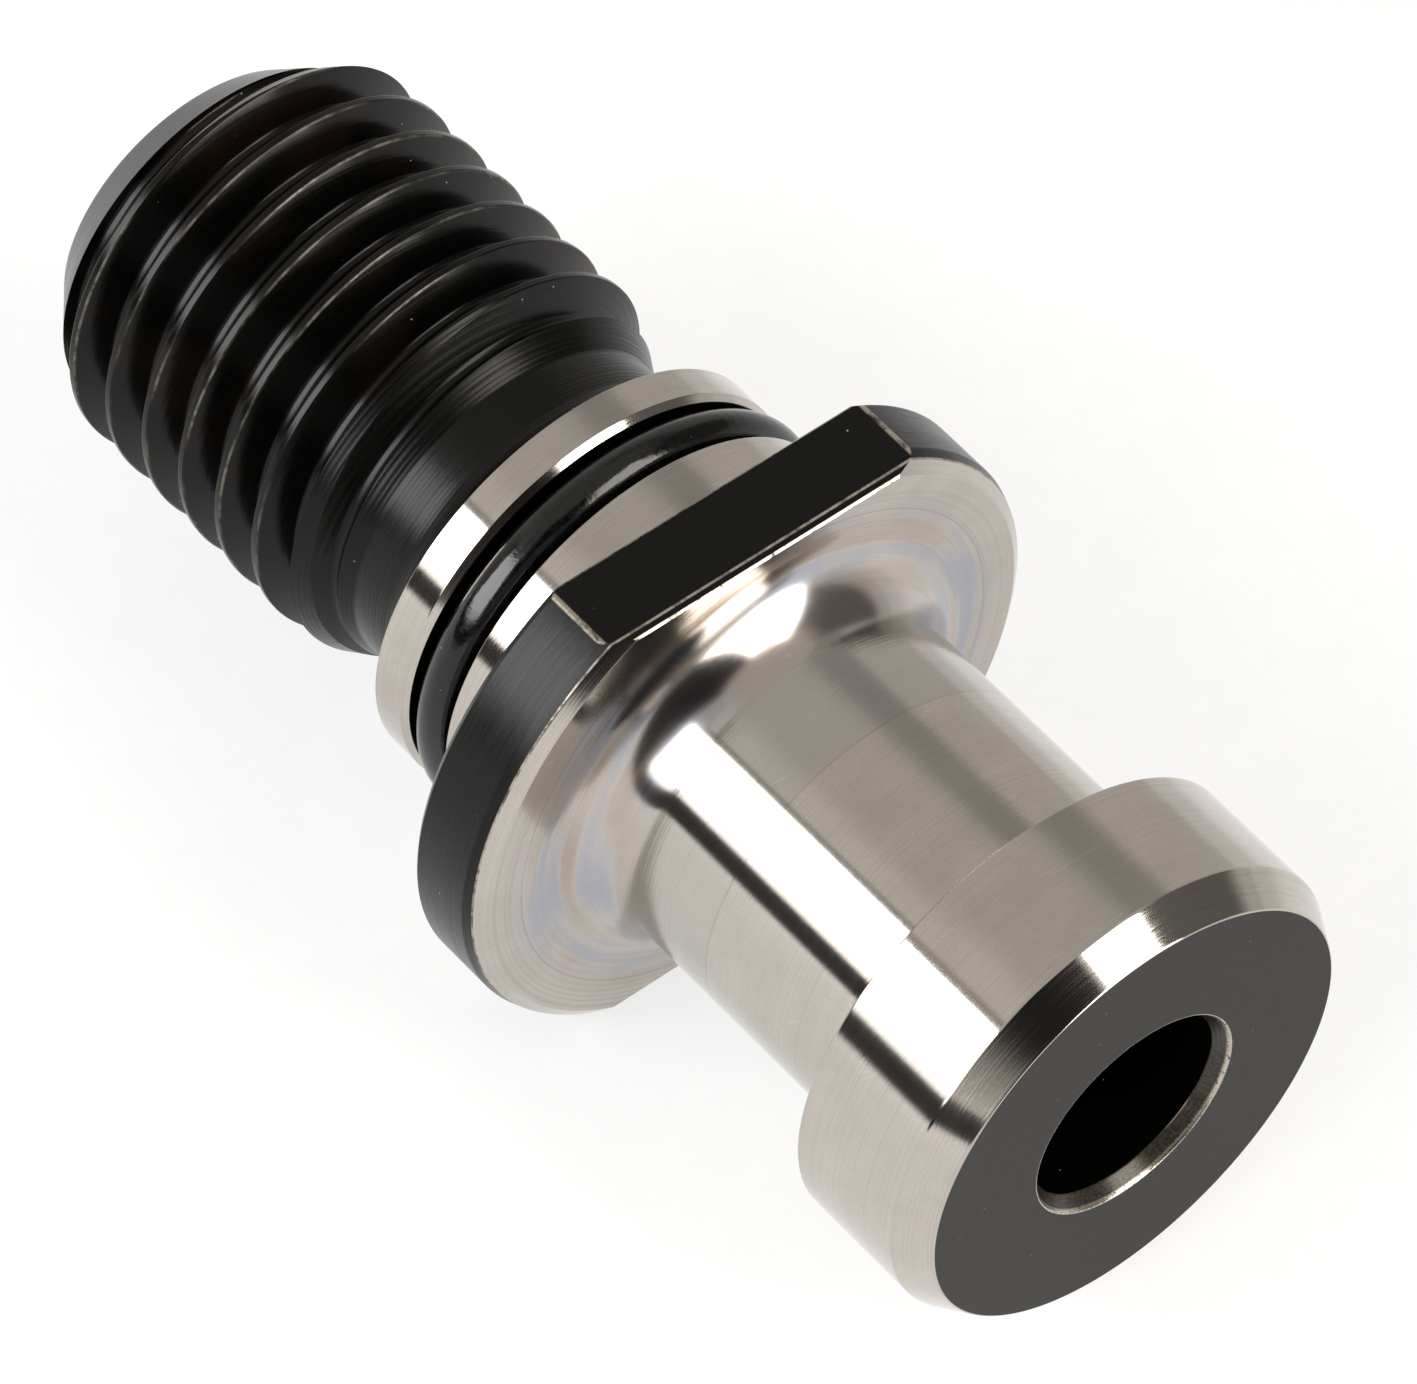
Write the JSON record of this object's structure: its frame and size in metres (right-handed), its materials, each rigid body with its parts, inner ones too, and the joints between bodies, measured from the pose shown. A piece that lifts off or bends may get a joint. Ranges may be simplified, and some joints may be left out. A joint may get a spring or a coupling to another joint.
{
  "type": "pull stud",
  "caption": "Bored steel pull stud: a chamfered round head on a necked shank, a flange with two wrench flats, an O-ring sealed pilot and a coarse threaded end, for a drawbar to grip.",
  "frame": {"origin": "on the stud's axis, in the plane of the flange's seat face, which is the face that meets the tool holder", "axes": "+X out of the head end, -X out of the threaded end; +Z is the outward normal of the upper wrench flat; it lies on the lower flat"},
  "size_m": [0.074, 0.036, 0.03],
  "materials": {
    "blackened_steel": "case-hardened steel: black-oxide thread, relief, flange rim and end face; ground bright on the head, neck, flange front and pilot lands",
    "black_rubber": "smooth moulded black nitrile rubber with a fine flash line"
  },
  "bodies": {
    "root": {"stud_body": "blackened_steel", "o_ring": "black_rubber"}
  },
  "joints": []
}
